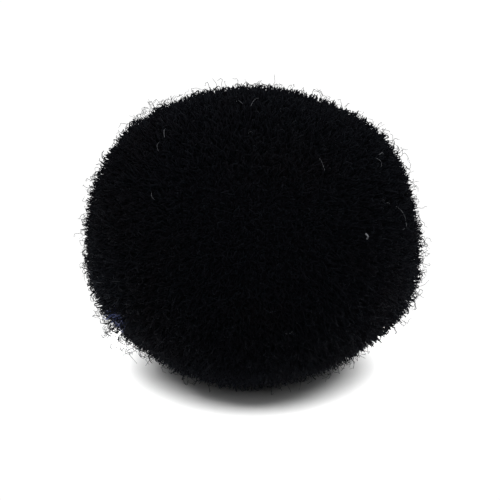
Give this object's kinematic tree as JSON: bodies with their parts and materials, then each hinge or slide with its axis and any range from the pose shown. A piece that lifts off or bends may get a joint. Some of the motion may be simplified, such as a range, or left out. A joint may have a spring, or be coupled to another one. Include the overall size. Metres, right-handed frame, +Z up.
{
  "type": "yarn pom pom",
  "caption": "Dense round ball of cut black yarn, tied in the middle and trimmed, resting on its flat spot; a trimming for hats, garlands and crafts.",
  "frame": {"origin": "on the surface the ball rests on, under the middle of the ball", "axes": "+Z up, +X to the right and -Y towards the viewer of the picture"},
  "size_m": [0.04, 0.0392, 0.0347],
  "materials": {
    "black_yarn": "matt cut acrylic yarn, dyed black, with a short fuzz of fine crimped fibres"
  },
  "bodies": {
    "root": {"yarn_locks": "black_yarn"}
  },
  "joints": []
}
